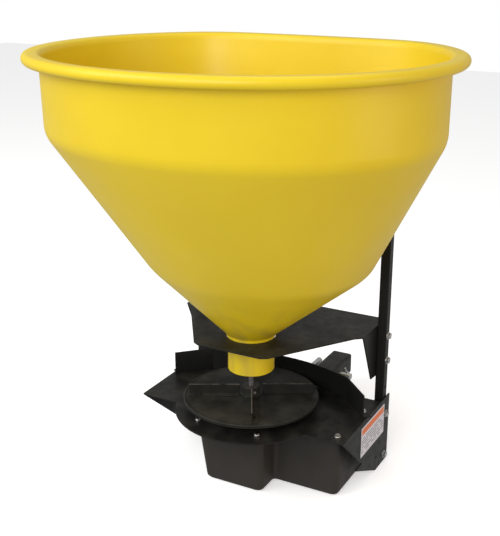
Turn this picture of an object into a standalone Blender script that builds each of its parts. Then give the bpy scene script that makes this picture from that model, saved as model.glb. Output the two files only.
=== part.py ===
"""Tailgate salt spreader: a moulded hopper on a welded frame, over a spinner driven by a worm gear motor.

The spinner's axis is the Z axis. -Y is the side that salt is thrown from, and +Y is the side of the
truck, where the square hitch shank points. The floor is z = 0. All lengths are in metres.
"""

import math

import bmesh
import bpy
from mathutils import Matrix, Vector

# Hopper: each level of its outer wall is an oval, cut flat on the truck side. A level is its half
# width, half depth, centre's Y, and the Y of its flat side.
RIM_TOP = 0.897
WALL = 0.0045
LIP_OVERHANG = 0.030
LIP_HEIGHT = 0.0205
RIM = (0.379, 0.345, -0.0303, 0.266)
SHOULDER = (0.3835, 0.320, -0.038, 0.262)
KINK = (0.2295, 0.2067, 0.0374, 1.0)
SHOULDER_Z = 0.7475
KINK_Z = 0.4665
SPOUT_TOP_Z = 0.327
SPOUT_BOTTOM_Z = 0.2467
SPOUT_RADIUS = 0.0476
OVAL_POWER = 2.07
CORNER_SHARPNESS = 18
HOPPER_POINTS = 72

# Frame
SHEET = 0.003
TUBE = 0.020
TUBE_WALL = 0.002
DECK_TOP = 0.156
DECK_RADIUS = 0.160
DECK_HALF_WIDTH = 0.2352
DECK_FRONT_Y = -0.058
DECK_BACK_Y = 0.150
FLANGE_BACK_Y = 0.198
UPRIGHT_X = 0.2219
UPRIGHT_Y = 0.177
UPRIGHT_TOP = 0.539
SADDLE_TOP = 0.321
SADDLE_HOLE_RADIUS = 0.0505
SADDLE_FOOT_Z = 0.203
GUARD_TOP = 0.207
GUARD_SHEET = 0.0025
CROSS_Y = (0.157, 0.197)
SHANK = 0.0508
SHANK_WALL = 0.00635
SHANK_Z = 0.061
SHANK_END_Y = 0.495

# Hitch pin
PIN_Y = 0.420
PIN_RADIUS = 0.0079
CLIP_WIRE = 0.0017
CLIP_X = 0.043
CLIP_TILT = math.radians(-37)

# Spinner and drive
SPINNER_TOP = 0.185
SPINNER_RADIUS = 0.1419
FIN_TURN = math.radians(28.3)
SHAFT_RADIUS = 0.006
SHAFT_TOP = 0.405
AGITATOR_Z = 0.385
WHEEL_TEETH = 24
WORM_STARTS = 2
MODULE = 0.003
WORM_RADIUS = 0.010
WORM_LENGTH = 0.042
WHEEL_Z = 0.078
WHEEL_WIDTH = 0.009
WHEEL_RADIUS = WHEEL_TEETH * MODULE / 2
WORM_Y = WHEEL_RADIUS + WORM_RADIUS
LEAD = math.pi * MODULE * WORM_STARTS
MOTOR_RADIUS = 0.036
MOTOR_X = (0.072, 0.176)

GAP = 0.0003
SIDES = {"left": -1, "right": 1}


def clear_scene():
    for obj in list(bpy.data.objects):
        bpy.data.objects.remove(obj, do_unlink=True)


def new_collection(name):
    collection = bpy.data.collections.new(name)
    bpy.context.scene.collection.children.link(collection)
    return collection


def new_material(name, colour, roughness, metallic=0.0):
    material = bpy.data.materials.new(name)
    material.use_nodes = True
    shader = material.node_tree.nodes["Principled BSDF"]
    shader.inputs["Base Color"].default_value = (*colour, 1.0)
    shader.inputs["Roughness"].default_value = roughness
    shader.inputs["Metallic"].default_value = metallic
    return material


def add_mesh(name, bm, material, smooth_angle=None, merge=True):
    """A new object of the part, made from bmesh data."""
    if merge:
        bmesh.ops.remove_doubles(bm, verts=bm.verts, dist=0.00001)
        bmesh.ops.recalc_face_normals(bm, faces=bm.faces)
    mesh = bpy.data.meshes.new(name)
    bm.to_mesh(mesh)
    bm.free()
    if smooth_angle:
        mesh.shade_smooth()
        mesh.set_sharp_from_angle(angle=math.radians(smooth_angle))
    mesh.materials.append(material)
    obj = bpy.data.objects.new(name, mesh)
    parts.objects.link(obj)
    return obj


def applied(obj):
    """The object with its modifiers, or its curve, turned into one welded mesh."""
    bpy.context.view_layer.update()
    graph = bpy.context.evaluated_depsgraph_get()
    mesh = bpy.data.meshes.new_from_object(obj.evaluated_get(graph))
    bm = bmesh.new()
    bm.from_mesh(mesh)
    bmesh.ops.remove_doubles(bm, verts=bm.verts, dist=0.00001)
    bm.to_mesh(mesh)
    bm.free()
    name = obj.name
    material = obj.data.materials[0]
    place = obj.matrix_world.copy()
    bpy.data.objects.remove(obj, do_unlink=True)
    mesh.materials.clear()
    mesh.materials.append(material)
    solid = bpy.data.objects.new(name, mesh)
    solid.matrix_world = place
    parts.objects.link(solid)
    return solid


def frame_of(x_axis, y_axis, origin=(0, 0, 0)):
    """Matrix whose local X and Y run along the given axes from the given origin."""
    x_axis = Vector(x_axis).normalized()
    y_axis = Vector(y_axis).normalized()
    rotation = Matrix((x_axis, y_axis, x_axis.cross(y_axis))).transposed()
    return Matrix.Translation(Vector(origin)) @ rotation.to_4x4()


def circle(radius, count, centre=(0, 0), start=0.0):
    turns = [start + 2 * math.pi * i / count for i in range(count)]
    return [(centre[0] + radius * math.cos(t), centre[1] + radius * math.sin(t)) for t in turns]


def arc(radius, first, last, count, centre=(0, 0)):
    turns = [first + (last - first) * i / (count - 1) for i in range(count)]
    return [(centre[0] + radius * math.cos(t), centre[1] + radius * math.sin(t)) for t in turns]


def rounded(points, radius, steps=3):
    """The same outline with each corner rounded."""
    result = []
    for i, point in enumerate(points):
        corner = Vector(point)
        before = (Vector(points[i - 1]) - corner).normalized()
        after = (Vector(points[(i + 1) % len(points)]) - corner).normalized()
        half = before.angle(after) / 2
        reach = radius / math.tan(half)
        start = corner + before * reach
        end = corner + after * reach
        for k in range(steps + 1):
            f = k / steps
            result.append(tuple(start * (1 - f) ** 2 + corner * 2 * f * (1 - f) + end * f**2))
    return result


def flat_plate(name, outlines, thickness, material, place=None):
    """A sheet cut to the first outline, with the other outlines as holes, about its own mid-plane."""
    curve = bpy.data.curves.new(name, "CURVE")
    curve.dimensions = "2D"
    curve.fill_mode = "BOTH"
    curve.extrude = thickness / 2
    for outline in outlines:
        spline = curve.splines.new("POLY")
        spline.points.add(len(outline) - 1)
        for point, (x, y) in zip(spline.points, outline):
            point.co = (x, y, 0, 1)
        spline.use_cyclic_u = True
    curve.materials.append(material)
    obj = bpy.data.objects.new(name, curve)
    obj.matrix_world = place or Matrix()
    parts.objects.link(obj)
    return applied(obj)


def square_tube(name, size, wall, length, material, place):
    """A square tube whose local Z is its length, centred on its origin."""
    half = size / 2
    square = [(-half, -half), (half, -half), (half, half), (-half, half)]
    inner = [(x * (1 - 2 * wall / size), y * (1 - 2 * wall / size)) for x, y in square]
    return flat_plate(name, [rounded(square, wall * 0.8, 2), inner], length, material, place)


def turned(name, profile, material, steps=24, place=None, ring=False, smooth=40):
    """A body turned about its local Z from (radius, height) points that run down its outer side."""
    mesh = bpy.data.meshes.new(name)
    links = [(i, i + 1) for i in range(len(profile) - 1)]
    if ring:
        links.append((len(profile) - 1, 0))
    mesh.from_pydata([(r, 0, z) for r, z in profile], links, [])
    mesh.materials.append(material)
    obj = bpy.data.objects.new(name, mesh)
    parts.objects.link(obj)
    obj.matrix_world = place or Matrix()
    screw = obj.modifiers.new("Screw", "SCREW")
    screw.steps = steps
    screw.render_steps = steps
    screw.use_merge_vertices = True
    screw.merge_threshold = 0.00001
    solid = applied(obj)
    if smooth:
        solid.data.shade_smooth()
        solid.data.set_sharp_from_angle(angle=math.radians(smooth))
    return solid


def folded_sheet(name, rows, thickness, material, place=None):
    """A folded sheet: rows of points across the folds, thickened on the side of its normals."""
    bm = bmesh.new()
    grid = [[bm.verts.new(point) for point in row] for row in rows]
    for row, following in zip(grid, grid[1:]):
        for i in range(len(row) - 1):
            bm.faces.new((row[i], row[i + 1], following[i + 1], following[i]))
    obj = add_mesh(name, bm, material, merge=False)
    obj.matrix_world = place or Matrix()
    thicken(obj, thickness, 1)
    return applied(obj)


def thicken(obj, thickness, side):
    solidify = obj.modifiers.new("Solidify", "SOLIDIFY")
    solidify.thickness = thickness
    solidify.offset = side
    solidify.use_even_offset = True
    solidify.use_quality_normals = True


def wire(name, points, radius, material, resolution=2):
    """A bent rod or wire."""
    curve = bpy.data.curves.new(name, "CURVE")
    curve.dimensions = "3D"
    curve.bevel_depth = radius
    curve.bevel_resolution = resolution
    curve.use_fill_caps = True
    spline = curve.splines.new("POLY")
    spline.points.add(len(points) - 1)
    for point, place in zip(spline.points, points):
        point.co = (*place, 1)
    curve.materials.append(material)
    obj = bpy.data.objects.new(name, curve)
    parts.objects.link(obj)
    return applied(obj)


def cut(obj, cutters):
    """Cuts every cutter out of the object."""
    for cutter in cutters:
        boolean = obj.modifiers.new("Cut", "BOOLEAN")
        boolean.operation = "DIFFERENCE"
        boolean.object = cutter
    return obj


def cylinder_cutter(name, radius, start, end, sides=12):
    """A cylinder between two points, used only for cutting."""
    start = Vector(start)
    end = Vector(end)
    direction = end - start
    bm = bmesh.new()
    turn = direction.to_track_quat("Z", "Y").to_matrix().to_4x4()
    place = Matrix.Translation((start + end) / 2) @ turn
    depth = direction.length
    bmesh.ops.create_cone(
        bm, cap_ends=True, segments=sides, radius1=radius, radius2=radius, depth=depth, matrix=place
    )
    mesh = bpy.data.meshes.new(name)
    bm.to_mesh(mesh)
    bm.free()
    obj = bpy.data.objects.new(name, mesh)
    obj.hide_render = True
    obj.display_type = "WIRE"
    cutter_collection.objects.link(obj)
    return obj


def bolt(name, head_face, direction, grip, radius=0.004, head=0.0073, nut=0.0073):
    """A hexagon bolt with its nut. The head seats at head_face, and direction points down the shank.

    Returns the cutter for its hole."""
    direction = Vector(direction).normalized()
    head_face = Vector(head_face)
    thick = head * 0.75
    seat = GAP
    tail = 0.004
    profile = [
        (0, thick + seat),
        (head, thick + seat),
        (head, seat),
        (radius, seat),
        (radius, -grip - seat),
        (nut, -grip - seat),
        (nut, -grip - seat - thick),
        (radius, -grip - seat - thick),
        (radius, -grip - seat - thick - tail),
        (0, -grip - seat - thick - tail),
    ]
    turn = (-direction).to_track_quat("Z", "Y").to_matrix().to_4x4()
    turned(name, profile, ZINC, 6, Matrix.Translation(head_face) @ turn, smooth=None)
    overrun = 0.003
    start = head_face - direction * overrun
    return cylinder_cutter(name + "_hole", radius + 0.0004, start, head_face + direction * (grip + overrun))


# ---------------------------------------------------------------- hopper


def hopper_ring(level, out=0.0):
    """One level of the hopper in plan, moved out by a distance: an oval cut flat, with soft corners."""
    half_width, half_depth, centre_y, flat_y = level
    reach = flat_y + out - centre_y
    points = []
    for i in range(HOPPER_POINTS):
        turn = 2 * math.pi * i / HOPPER_POINTS
        cosine = math.cos(turn)
        sine = math.sin(turn)
        share = abs(cosine / (half_width + out)) ** OVAL_POWER + abs(sine / (half_depth + out)) ** OVAL_POWER
        distance = share ** (-1 / OVAL_POWER)
        if sine > 0.01:
            sharp = CORNER_SHARPNESS
            distance = (distance**-sharp + (reach / sine) ** -sharp) ** (-1 / sharp)
        points.append((distance * cosine, centre_y + distance * sine))
    return points


def cone_ring(height, out=0.0):
    """Plan of the upper cone's wall at a height between the kink and the shoulder."""
    f = (height - KINK_Z) / (SHOULDER_Z - KINK_Z)
    low = hopper_ring(KINK, out)
    high = hopper_ring(SHOULDER, out)
    return [(a[0] + (b[0] - a[0]) * f, a[1] + (b[1] - a[1]) * f) for a, b in zip(low, high)]


def make_hopper():
    """Moulded hopper: its wall from the spout up to the rim, over the rolled lip and back down inside."""
    lip_half = LIP_HEIGHT / 2
    lip_centre_z = RIM_TOP - lip_half
    lip_steps = 6
    spout = (SPOUT_RADIUS, SPOUT_RADIUS, 0, 1.0)
    rings = []

    def ring(points, z):
        rings.append([(x, y, z) for x, y in points])

    ring(hopper_ring(spout), SPOUT_BOTTOM_Z)
    ring(hopper_ring(spout), SPOUT_TOP_Z)
    ring(hopper_ring(KINK), KINK_Z)
    ring(hopper_ring(SHOULDER), SHOULDER_Z)
    ring(hopper_ring(RIM), RIM_TOP - LIP_HEIGHT)
    for k in range(lip_steps):
        turn = -math.pi / 2 + math.pi * k / (lip_steps - 1)
        out = LIP_OVERHANG - lip_half + lip_half * math.cos(turn)
        ring(hopper_ring(RIM, out), lip_centre_z + lip_half * math.sin(turn))
    ring(hopper_ring(RIM, 0.002), RIM_TOP)
    ring(hopper_ring(RIM, -WALL), RIM_TOP - 0.006)
    ring(hopper_ring(SHOULDER, -WALL), SHOULDER_Z + 0.002)
    ring(hopper_ring(KINK, -WALL), KINK_Z + 0.003)
    ring(hopper_ring(spout, -WALL), SPOUT_TOP_Z + 0.004)
    ring(hopper_ring(spout, -WALL), SPOUT_BOTTOM_Z)

    bm = bmesh.new()
    verts = [[bm.verts.new(point) for point in points] for points in rings]
    for i, row in enumerate(verts):
        following = verts[(i + 1) % len(verts)]
        for j in range(HOPPER_POINTS):
            k = (j + 1) % HOPPER_POINTS
            bm.faces.new((row[j], row[k], following[k], following[j]))
    return add_mesh("hopper", bm, YELLOW, 30)


def wall_place(side, turn_degrees, height):
    """A place on the hopper's cone: origin on the outer wall, local Z out of the wall."""
    index = round(turn_degrees / 360 * HOPPER_POINTS)
    step = 0.02
    here = cone_ring(height)
    above = cone_ring(height + step)
    middle = Vector((*here[index], height))
    along = Vector((*here[index + 1], height)) - Vector((*here[index - 1], height))
    up = Vector((*above[index], height + step)) - middle
    middle.x *= side
    along.x *= side
    up.x *= side
    along *= side
    return frame_of(along, up - up.project(along), middle)


# ---------------------------------------------------------------- frame


def make_uprights():
    """Two square tubes that carry the hopper, with a spare adjusting hole in each."""
    tubes = {}
    for side, sign in SIDES.items():
        place = Matrix.Translation((sign * UPRIGHT_X, UPRIGHT_Y, UPRIGHT_TOP / 2))
        tubes[side] = square_tube(f"upright_{side}", TUBE, TUBE_WALL, UPRIGHT_TOP, BLACK, place)
        spare_z = 0.178
        start = (sign * UPRIGHT_X - TUBE, UPRIGHT_Y, spare_z)
        end = (sign * UPRIGHT_X + TUBE, UPRIGHT_Y, spare_z)
        cut(tubes[side], [cylinder_cutter(f"spare_hole_{side}", 0.004, start, end)])
    return tubes


def make_saddle():
    """Folded sheet under the hopper: a level plate with a hole for the spout, and a cheek at each end."""
    side_x = UPRIGHT_X - TUBE / 2 - GAP
    back_y = 0.212
    z = SADDLE_TOP
    bm = bmesh.new()
    top_points = [
        (-0.070, -0.097),
        (0.070, -0.097),
        (0.084, -0.089),
        (0.196, 0.080),
        (side_x, 0.090),
        (side_x, back_y),
        (-side_x, back_y),
        (-side_x, 0.090),
        (-0.196, 0.080),
        (-0.084, -0.089),
    ]
    top = [bm.verts.new((x, y, z)) for x, y in top_points]
    bm.faces.new(top)
    for front, back in ((top[4], top[5]), (top[7], top[6])):
        low_front = bm.verts.new((front.co.x, 0.143, SADDLE_FOOT_Z + 0.003))
        low_mid = bm.verts.new((front.co.x, 0.172, SADDLE_FOOT_Z))
        low_back = bm.verts.new((front.co.x, back_y, SADDLE_FOOT_Z + 0.012))
        bm.faces.new((front, low_front, low_mid, low_back, back))
    bmesh.ops.recalc_face_normals(bm, faces=bm.faces)
    if bm.faces[:][0].normal.z < 0:
        bmesh.ops.reverse_faces(bm, faces=bm.faces)
    saddle = add_mesh("saddle_plate", bm, BLACK, merge=False)
    thicken(saddle, SHEET, -1)
    saddle = applied(saddle)
    hole = cylinder_cutter("spout_hole", SADDLE_HOLE_RADIUS, (0, 0, z - 0.02), (0, 0, z + 0.02), 36)
    return cut(saddle, [hole])


def make_deck():
    """Deck under the spinner: a round-fronted plate whose sides are folded down into side plates."""
    z = DECK_TOP
    half = DECK_HALF_WIDTH
    join_x = math.sqrt(DECK_RADIUS**2 - DECK_FRONT_Y**2)
    start = math.atan2(DECK_FRONT_Y, -join_x)
    end = math.atan2(DECK_FRONT_Y, join_x)
    front = arc(DECK_RADIUS, start, end, 25)
    outline = [(-half, DECK_FRONT_Y), *front, (half, DECK_FRONT_Y), (half, DECK_BACK_Y), (-half, DECK_BACK_Y)]
    bm = bmesh.new()
    top = [bm.verts.new((x, y, z)) for x, y in outline]
    bm.faces.new(top)
    right_outline = [(FLANGE_BACK_Y, z), (FLANGE_BACK_Y, 0), (0.130, 0), (0.012, 0.059), (0.046, 0.060)]
    left_outline = [(FLANGE_BACK_Y, z), (FLANGE_BACK_Y, 0), (0.122, 0)]
    sides = ((top[-3], top[-2], right_outline), (top[0], top[-1], left_outline))
    for front_corner, back_corner, outline in sides:
        x = front_corner.co.x
        low = [bm.verts.new((x, y, height)) for y, height in outline]
        bm.faces.new((front_corner, back_corner, *low))
    bmesh.ops.recalc_face_normals(bm, faces=bm.faces)
    if bm.faces[:][0].normal.z < 0:
        bmesh.ops.reverse_faces(bm, faces=bm.faces)
    deck = add_mesh("deck", bm, BLACK, merge=False)
    thicken(deck, SHEET, -1)
    deck = applied(deck)
    shaft_hole = cylinder_cutter("deck_shaft_hole", 0.0165, (0, 0, z - 0.02), (0, 0, z + 0.02), 24)
    cutters = [shaft_hole]
    for side, sign in SIDES.items():
        start = (sign * (half - 0.02), 0.131, 0.031)
        end = (sign * (half + 0.02), 0.131, 0.031)
        cutters.append(cylinder_cutter(f"side_hole_{side}", 0.003, start, end))
    return cut(deck, cutters)


def make_guard():
    """Guard behind the spinner: a bent wall with a foot along its back that lies on the deck."""
    end_x, end_y = 0.2275, 0.061
    bend_x, bend_y = 0.165, 0.124
    sagitta = 0.160 - bend_y
    radius = (bend_x**2 + sagitta**2) / (2 * sagitta)
    sweep = math.asin(bend_x / radius)
    centre_y = bend_y - radius * math.cos(sweep)
    middle = arc(radius, math.pi / 2 - sweep, math.pi / 2 + sweep, 13, (0, centre_y))
    path = [(end_x, end_y), *middle, (-end_x, end_y)][::-1]
    foot = 0.018
    floor = DECK_TOP + GAP
    rows = []
    for i, (x, y) in enumerate(path):
        before = Vector(path[max(i - 1, 0)])
        after = Vector(path[min(i + 1, len(path) - 1)])
        along = (after - before).normalized()
        out = Vector((-along.y, along.x))
        rows.append([(x + out.x * foot, y + out.y * foot, floor), (x, y, floor), (x, y, GUARD_TOP)])
    guard = folded_sheet("spinner_guard", rows, GUARD_SHEET, BLACK)
    return guard


def set_origin(obj, point):
    """Moves an object's origin to a point and leaves its shape where it is."""
    obj.data.transform(Matrix.Translation(-Vector(point)))
    obj.location = point


def make_hitch():
    """Cross tube between the uprights, the square shank welded behind it, and its pin and clip."""
    inner = UPRIGHT_X - TUBE / 2 - 2 * GAP
    depth = CROSS_Y[1] - CROSS_Y[0]
    half_z = SHANK / 2
    wall = 0.003
    outline = [(-depth / 2, -half_z), (depth / 2, -half_z), (depth / 2, half_z), (-depth / 2, half_z)]
    hollow = [
        (-depth / 2 + wall, -half_z + wall),
        (depth / 2 - wall, -half_z + wall),
        (depth / 2 - wall, half_z - wall),
        (-depth / 2 + wall, half_z - wall),
    ]
    place = frame_of((0, 1, 0), (0, 0, 1), (0, sum(CROSS_Y) / 2, SHANK_Z))
    flat_plate("cross_tube", [rounded(outline, wall * 0.8, 2), hollow], 2 * inner, BLACK, place)

    start_y = CROSS_Y[1] + GAP
    length = SHANK_END_Y - start_y
    place = frame_of((0, 0, 1), (1, 0, 0), (0, start_y + length / 2, SHANK_Z))
    shank = square_tube("hitch_shank", SHANK, SHANK_WALL, length, BLACK, place)
    left = (-SHANK, PIN_Y, SHANK_Z)
    right = (SHANK, PIN_Y, SHANK_Z)
    bore = cylinder_cutter("pin_bore", PIN_RADIUS + 0.0004, left, right, 20)
    cut(shank, [bore])

    bend = [
        (0.056, PIN_Y, SHANK_Z),
        (-0.038, PIN_Y, SHANK_Z),
        (-0.046, PIN_Y + 0.003, SHANK_Z),
        (-0.052, PIN_Y + 0.010, SHANK_Z),
        (-0.054, PIN_Y + 0.020, SHANK_Z),
        (-0.054, PIN_Y + 0.055, SHANK_Z),
    ]
    pin = wire("hitch_pin", bend, PIN_RADIUS, ZINC, 3)
    set_origin(pin, (0, PIN_Y, SHANK_Z))
    leg = Vector((0, math.cos(CLIP_TILT), math.sin(CLIP_TILT)))
    side = Vector((0, -math.sin(CLIP_TILT), math.cos(CLIP_TILT)))
    centre = Vector((CLIP_X, PIN_Y, SHANK_Z))
    clip_bore = cylinder_cutter("clip_bore", CLIP_WIRE + 0.0003, centre - leg * 0.012, centre + leg * 0.012)
    cut(pin, [clip_bore])

    ring_radius = 0.0075
    over = PIN_RADIUS + CLIP_WIRE + 0.0009
    ring_at = (0.024, over - ring_radius)
    first = math.radians(-120)
    flat_route = [(-0.016, 0.0), (0.010, 0.0), (0.017, -0.0015)]
    flat_route += arc(ring_radius, first, math.radians(90), 9, ring_at)
    flat_route += [(0.012, over), (-0.010, over), (-0.020, over + 0.004)]
    route = [tuple(centre + leg * along + side * across) for along, across in flat_route]
    set_origin(wire("pin_clip", route, CLIP_WIRE, ZINC, 1), centre)


# ---------------------------------------------------------------- enclosure and drive


def make_tub(name, levels, wall, material):
    """An open-topped shell with a flat bottom, through the same outline at each level, the top first."""
    bm = bmesh.new()
    rings = [[bm.verts.new((x, y, z)) for x, y in outline] for outline, z in levels]
    count = len(rings[0])
    for upper, lower in zip(rings, rings[1:]):
        for i in range(count):
            j = (i + 1) % count
            bm.faces.new((upper[i], upper[j], lower[j], lower[i]))
    bm.faces.new(rings[-1])
    bmesh.ops.recalc_face_normals(bm, faces=bm.faces)
    bottom = min(bm.faces, key=lambda face: face.calc_center_median().z)
    if bottom.normal.z > 0:
        bmesh.ops.reverse_faces(bm, faces=bm.faces)
    tub = add_mesh(name, bm, material, merge=False)
    thicken(tub, wall, -1)
    return applied(tub)


def enclosure_outline(left, right, lobe_right, front, lobe_front, back):
    points = [(left, front), (lobe_right, front), (lobe_right, lobe_front), (right, lobe_front)]
    points += [(right, back), (left, back)]
    return rounded(points, 0.012, 2)


def make_enclosure():
    """Tub under the deck: a lobe under the spinner for the gearbox, and one beside it for the motor."""
    top = enclosure_outline(-0.0915, 0.209, 0.067, -0.078, -0.018, 0.150)
    low = enclosure_outline(-0.0750, 0.204, 0.0605, -0.0685, -0.009, 0.142)
    base = enclosure_outline(-0.0660, 0.195, 0.0515, -0.0595, 0.000, 0.133)
    levels = ((top, DECK_TOP - SHEET - 3 * GAP), (low, 0.010), (base, 0.0))
    make_tub("motor_enclosure", levels, 0.003, PLASTIC)


def worm_mesh():
    """Two-start worm along local Z: a cylinder whose radius follows the thread."""
    addendum = 0.0019
    dedendum = 0.0030
    around = 24
    along = 57
    bm = bmesh.new()
    rings = []
    for i in range(along):
        z = -WORM_LENGTH / 2 + WORM_LENGTH * i / (along - 1)
        ring = []
        for j in range(around):
            turn = 2 * math.pi * j / around
            phase = (z / LEAD - turn / (2 * math.pi)) * WORM_STARTS + 0.5
            wave = abs((phase % 1.0) - 0.5) * 2
            crest = min(max((wave - 0.62) / 0.24, 0.0), 1.0)
            radius = WORM_RADIUS - dedendum + (addendum + dedendum) * crest
            ring.append(bm.verts.new((radius * math.cos(turn), radius * math.sin(turn), z)))
        rings.append(ring)
    for row, following in zip(rings, rings[1:]):
        for j in range(around):
            k = (j + 1) % around
            bm.faces.new((row[j], row[k], following[k], following[j]))
    bm.faces.new(rings[0][::-1])
    bm.faces.new(rings[-1])
    return bm


def wheel_mesh():
    """Worm wheel: teeth slanted by the worm's lead angle."""
    lead_angle = math.atan(LEAD / (2 * math.pi * WORM_RADIUS))
    outer = WHEEL_RADIUS + 0.0014
    root = WHEEL_RADIUS - 0.0032
    pitch = 2 * math.pi / WHEEL_TEETH
    bm = bmesh.new()
    rings = []
    levels = 5
    for k in range(levels):
        z = WHEEL_WIDTH * (k / (levels - 1) - 0.5)
        slant = -z * math.tan(lead_angle) / WHEEL_RADIUS
        ring = []
        for tooth in range(WHEEL_TEETH):
            middle = pitch * tooth + slant
            for radius, offset in ((root, -0.20), (outer, -0.07), (outer, 0.07), (root, 0.20)):
                turn = middle + offset * pitch
                ring.append(bm.verts.new((radius * math.cos(turn), radius * math.sin(turn), z)))
        rings.append(ring)
    count = len(rings[0])
    for row, following in zip(rings, rings[1:]):
        for j in range(count):
            m = (j + 1) % count
            bm.faces.new((row[j], row[m], following[m], following[j]))
    bm.faces.new(rings[0][::-1])
    bm.faces.new(rings[-1])
    return bm


def make_drive():
    """Gearbox under the deck with a worm wheel on the spinner's shaft, and the motor beside it."""
    shaft_bottom = 0.040
    shaft = turned(
        "spinner_shaft",
        [(0, SHAFT_TOP), (SHAFT_RADIUS - 0.001, SHAFT_TOP), (SHAFT_RADIUS, SHAFT_TOP - 0.001)]
        + [(SHAFT_RADIUS, shaft_bottom), (0, shaft_bottom)],
        STEEL,
        16,
    )
    cross = AGITATOR_Z
    bar_hole = cylinder_cutter("agitator_hole", 0.0033, (-0.02, 0, cross), (0.02, 0, cross))
    cut(shaft, [bar_hole])

    wheel = add_mesh("worm_wheel", wheel_mesh(), BRASS)
    wheel.location.z = WHEEL_Z
    wheel_top = WHEEL_Z + WHEEL_WIDTH
    wheel_low = WHEEL_Z - WHEEL_WIDTH
    cut(wheel, [cylinder_cutter("wheel_bore", SHAFT_RADIUS + GAP, (0, 0, wheel_low), (0, 0, wheel_top), 16)])

    worm_place = frame_of((0, 1, 0), (0, 0, 1), (0, WORM_Y, WHEEL_Z))
    worm = add_mesh("worm", worm_mesh(), STEEL)
    worm.matrix_world = worm_place
    reach = 0.05
    bore = cylinder_cutter("worm_bore", 0.0043, (-reach, WORM_Y, WHEEL_Z), (reach, WORM_Y, WHEEL_Z), 12)
    cut(worm, [bore])

    armature_profile = [
        (0, MOTOR_X[1] - 0.012),
        (0.004, MOTOR_X[1] - 0.012),
        (0.004, MOTOR_X[1] - 0.028),
        (0.014, MOTOR_X[1] - 0.028),
        (0.014, MOTOR_X[1] - 0.042),
        (0.024, MOTOR_X[1] - 0.042),
        (0.024, MOTOR_X[0] + 0.014),
        (0.004, MOTOR_X[0] + 0.014),
        (0.004, -0.040),
        (0, -0.040),
    ]
    turned("motor_armature", armature_profile, STEEL, 16, worm_place)

    can_wall = 0.003
    inside = MOTOR_RADIUS - can_wall
    nose = 0.0052
    can_profile = [
        (nose, MOTOR_X[0] + can_wall),
        (inside, MOTOR_X[0] + can_wall),
        (inside, MOTOR_X[1] - 0.014),
        (MOTOR_RADIUS, MOTOR_X[1] - 0.014),
        (MOTOR_RADIUS, MOTOR_X[0]),
        (nose, MOTOR_X[0]),
    ]
    turned("motor_can", can_profile, STEEL, 24, worm_place, ring=True)
    cap_face = MOTOR_X[1] - 0.014 + GAP
    cap_profile = [
        (0, MOTOR_X[1]),
        (MOTOR_RADIUS - 0.006, MOTOR_X[1]),
        (MOTOR_RADIUS, MOTOR_X[1] - 0.006),
        (MOTOR_RADIUS, cap_face),
        (0.0045, cap_face),
        (0.0045, MOTOR_X[1] - 0.008),
        (0, MOTOR_X[1] - 0.008),
    ]
    turned("motor_end_cap", cap_profile, PLASTIC, 24, worm_place)

    make_gearbox()
    make_bearings(worm_place)


def make_gearbox():
    """Cast gearbox in two shells: an open case, and the lid that hangs it under the deck."""
    left, right = -0.048, 0.046
    front, back = -0.048, WORM_Y + 0.020
    low = 0.034
    lid_low = 0.112
    lid_top = DECK_TOP - SHEET - 2 * GAP
    wall = 0.004
    outline = rounded([(left, front), (right, front), (right, back), (left, back)], 0.010, 2)
    case = make_tub("gearbox_case", ((outline, lid_low - GAP), (outline, low)), wall, CAST)
    start = (right - 0.02, WORM_Y, WHEEL_Z)
    cut(case, [cylinder_cutter("worm_shaft_exit", 0.0092, start, (right + 0.02, WORM_Y, WHEEL_Z), 16)])

    place = Matrix.Translation((0, 0, (lid_low + lid_top) / 2))
    hole = circle(0.0145, 24)
    flat_plate("gearbox_lid", [outline, hole], lid_top - lid_low, CAST, place)


def make_bearings(worm_place):
    """Ball bearings drawn as plain rings, the seal over the upper one, and the cable gland."""

    def ring(name, inner, outer, low, high, material, place=None, steps=20):
        profile = [(inner, high), (outer, high), (outer, low), (inner, low)]
        turned(name, profile, material, steps, place, ring=True)

    run = SHAFT_RADIUS + GAP
    ring("upper_bearing", run, 0.0142, 0.116, 0.128, STEEL)
    ring("lower_bearing", run, 0.0130, 0.0385, 0.0485, STEEL)
    ring("shaft_seal", run, 0.0142, 0.1385, 0.1605, RUBBER)
    ring("worm_bearing_outer", 0.0043, 0.0090, 0.034, 0.0458, STEEL, worm_place, 16)
    ring("worm_bearing_inner", 0.0043, 0.0090, -0.0395, -0.0310, STEEL, worm_place, 16)

    place = frame_of((0, 1, 0), (0, 0, -1), (-0.0872, 0.075, 0.110))
    profile = [(0, 0.020), (0.005, 0.020), (0.007, 0.018), (0.007, 0.010), (0.010, 0.009), (0.010, 0.0012)]
    turned("cable_gland", [*profile, (0, 0.0012)], PLASTIC, 12, place)


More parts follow.
